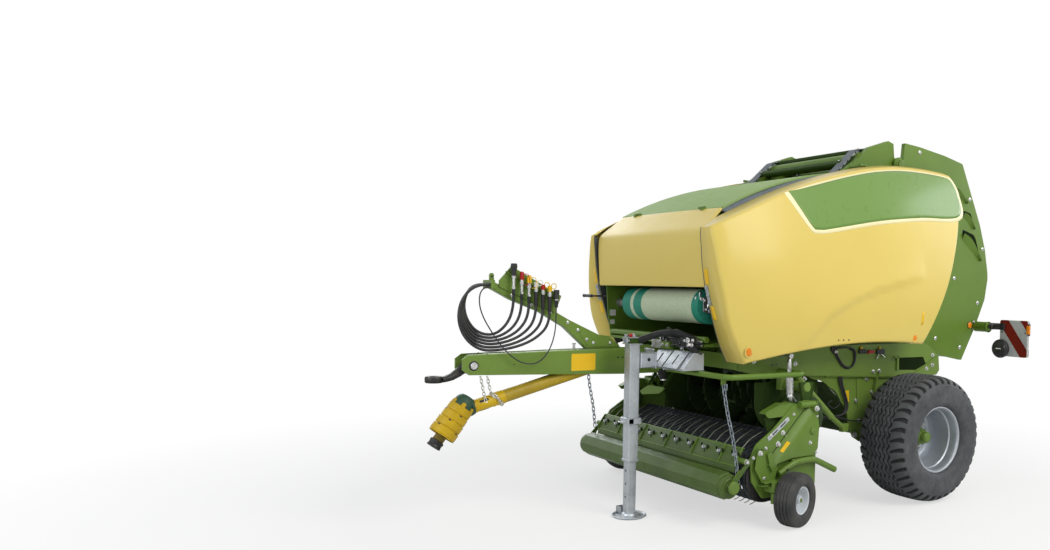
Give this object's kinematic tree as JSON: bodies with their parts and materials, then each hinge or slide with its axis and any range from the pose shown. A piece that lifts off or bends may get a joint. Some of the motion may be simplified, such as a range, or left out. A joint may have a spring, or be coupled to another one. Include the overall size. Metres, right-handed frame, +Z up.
{
  "type": "round baler",
  "caption": "Towed round baler with tine pickup, net wrap, lifting tailgate and covers, parked on its jack with hoses hung on a drawbar arm.",
  "frame": {"origin": "on the ground at the centre of the bounding box's footprint, on the machine's centre plane", "axes": "+X to the machine's left, -Y forward towards the drawbar eye, +Z up"},
  "size_m": [2.712, 5.246, 3.063],
  "materials": {
    "green_paint": "gloss",
    "roof_green": "satin",
    "dark_green": "satin",
    "cream_paint": "gloss",
    "galvanised": "satin",
    "steel": "satin",
    "rim_silver": "gloss",
    "rim_grey": "satin",
    "tyre": "matte",
    "belt": "matte",
    "seal": "matte",
    "hose": "satin",
    "cable": "satin",
    "pto_yellow": "satin",
    "net_wrap": "matte",
    "board": "retroreflective",
    "lamp": "gloss",
    "black_steel": "satin"
  },
  "bodies": {
    "chassis": {"axle": "green_paint", "chassis_frame": "green_paint", "front_rail": "green_paint", "hitch_eye": "black_steel", "pto_guard": "pto_yellow", "gearbox": "dark_green", "drawbar": "green_paint", "chamber_walls": "green_paint", "front_conveyor": "belt", "front_housing": "green_paint", "roof": "roof_green", "roof_seals": "seal", "rotor_housing": "green_paint", "jack_socket": "galvanised", "jack_tube": "galvanised", "hose_arm": "green_paint", "hose_couplers": "black_steel", "hose_1": "hose", "hose_2": "hose", "hose_3": "hose", "hose_4": "hose", "hose_5": "hose", "hose_6": "hose", "signal_cable": "cable", "guard_chains": "steel", "lift_springs": "steel", "valve_block": "steel", "tool_box": "galvanised"},
    "pto_yoke": {"pto_yoke": "black_steel"},
    "tailgate": {"tailgate_frame": "green_paint", "tailgate_conveyor": "belt", "lamp_arms": "green_paint", "warning_boards": "board", "side_lamps": "lamp"},
    "wheel_left": {"tyre_left": "tyre", "wheel_rim_left": "rim_silver"},
    "wheel_right": {"tyre_right": "tyre", "wheel_rim_right": "rim_silver"},
    "feed_rotor": {"feed_rotor": "green_paint"},
    "net_roll": {"net_roll": "net_wrap"},
    "pickup": {"pickup_frame": "green_paint", "pickup_bands": "green_paint"},
    "tine_reel": {"tine_reel": "steel"},
    "wind_guard": {"wind_guard": "green_paint"},
    "guard_roller": {"guard_roller": "green_paint"},
    "gauge_fork_left": {"gauge_fork_left": "green_paint"},
    "gauge_fork_right": {"gauge_fork_right": "green_paint"},
    "gauge_wheel_left": {"gauge_tyre_left": "tyre", "gauge_rim_left": "rim_grey"},
    "gauge_wheel_right": {"gauge_tyre_right": "tyre", "gauge_rim_right": "rim_grey"},
    "jack_leg": {"jack_leg": "galvanised"},
    "front_cover": {"front_cover": "cream_paint"},
    "side_cover_left": {"side_cover_left": "cream_paint"},
    "side_cover_right": {"side_cover_right": "cream_paint"}
  },
  "joints": [
    {"name": "wheel_left_spin", "type": "hinge", "parent": "chassis", "child": "wheel_left", "pos_m": [1.106, 1.187, 0.529], "axis": [1, 0, 0], "continuous": true},
    {"name": "wheel_right_spin", "type": "hinge", "parent": "chassis", "child": "wheel_right", "pos_m": [-1.106, 1.187, 0.529], "axis": [1, 0, 0], "continuous": true},
    {"name": "pto_turn", "type": "hinge", "parent": "chassis", "child": "pto_yoke", "pos_m": [0, -2.508, 0.668], "axis": [0, -0.6, -0.8], "continuous": true},
    {"name": "tailgate_lift", "type": "hinge", "parent": "chassis", "child": "tailgate", "pos_m": [0, 1.287, 2.87], "axis": [1, 0, 0], "range_deg": [0, 60]},
    {"name": "front_cover_lift", "type": "hinge", "parent": "chassis", "child": "front_cover", "pos_m": [0, -0.679, 2.347], "axis": [-1, 0, 0], "range_deg": [0, 70]},
    {"name": "side_cover_left_lift", "type": "hinge", "parent": "chassis", "child": "side_cover_left", "pos_m": [0.768, 0.852, 2.79], "axis": [0, -1, 0], "range_deg": [0, 70]},
    {"name": "side_cover_right_lift", "type": "hinge", "parent": "chassis", "child": "side_cover_right", "pos_m": [-0.768, 0.852, 2.79], "axis": [0, 1, 0], "range_deg": [0, 70]},
    {"name": "net_roll_spin", "type": "hinge", "parent": "chassis", "child": "net_roll", "pos_m": [0, -0.704, 1.593], "axis": [1, 0, 0], "continuous": true},
    {"name": "feed_rotor_spin", "type": "hinge", "parent": "chassis", "child": "feed_rotor", "pos_m": [0, 0.107, 0.76], "axis": [1, 0, 0], "continuous": true},
    {"name": "pickup_lift", "type": "hinge", "parent": "chassis", "child": "pickup", "pos_m": [0, -0.033, 0.84], "axis": [-1, 0, 0], "range_deg": [0, 25], "deforming": ["guard_chains", "lift_springs"]},
    {"name": "tine_reel_spin", "type": "hinge", "parent": "pickup", "child": "tine_reel", "pos_m": [0, -0.453, 0.345], "axis": [1, 0, 0], "continuous": true},
    {"name": "wind_guard_lift", "type": "hinge", "parent": "pickup", "child": "wind_guard", "pos_m": [0, -0.558, 0.54], "axis": [-1, 0, 0], "range_deg": [0, 35]},
    {"name": "guard_roller_spin", "type": "hinge", "parent": "wind_guard", "child": "guard_roller", "pos_m": [0, -0.792, 0.313], "axis": [1, 0, 0], "continuous": true},
    {"name": "gauge_swivel_left", "type": "hinge", "parent": "pickup", "child": "gauge_fork_left", "pos_m": [1.154, -0.472, 0.201], "axis": [0, 0, 1], "range_deg": [-38, 0]},
    {"name": "gauge_wheel_left_spin", "type": "hinge", "parent": "gauge_fork_left", "child": "gauge_wheel_left", "pos_m": [1.22153, -0.32388, 0.201], "axis": [0.9511, 0.309, 0], "continuous": true},
    {"name": "gauge_swivel_right", "type": "hinge", "parent": "pickup", "child": "gauge_fork_right", "pos_m": [-1.154, -0.472, 0.201], "axis": [0, 0, 1], "range_deg": [0, 38]},
    {"name": "gauge_wheel_right_spin", "type": "hinge", "parent": "gauge_fork_right", "child": "gauge_wheel_right", "pos_m": [-1.22153, -0.32388, 0.201], "axis": [-0.9511, 0.309, 0], "continuous": true},
    {"name": "jack_slide", "type": "slide", "parent": "chassis", "child": "jack_leg", "axis": [0, 0, 1], "range_m": [0, 0.36]}
  ]
}
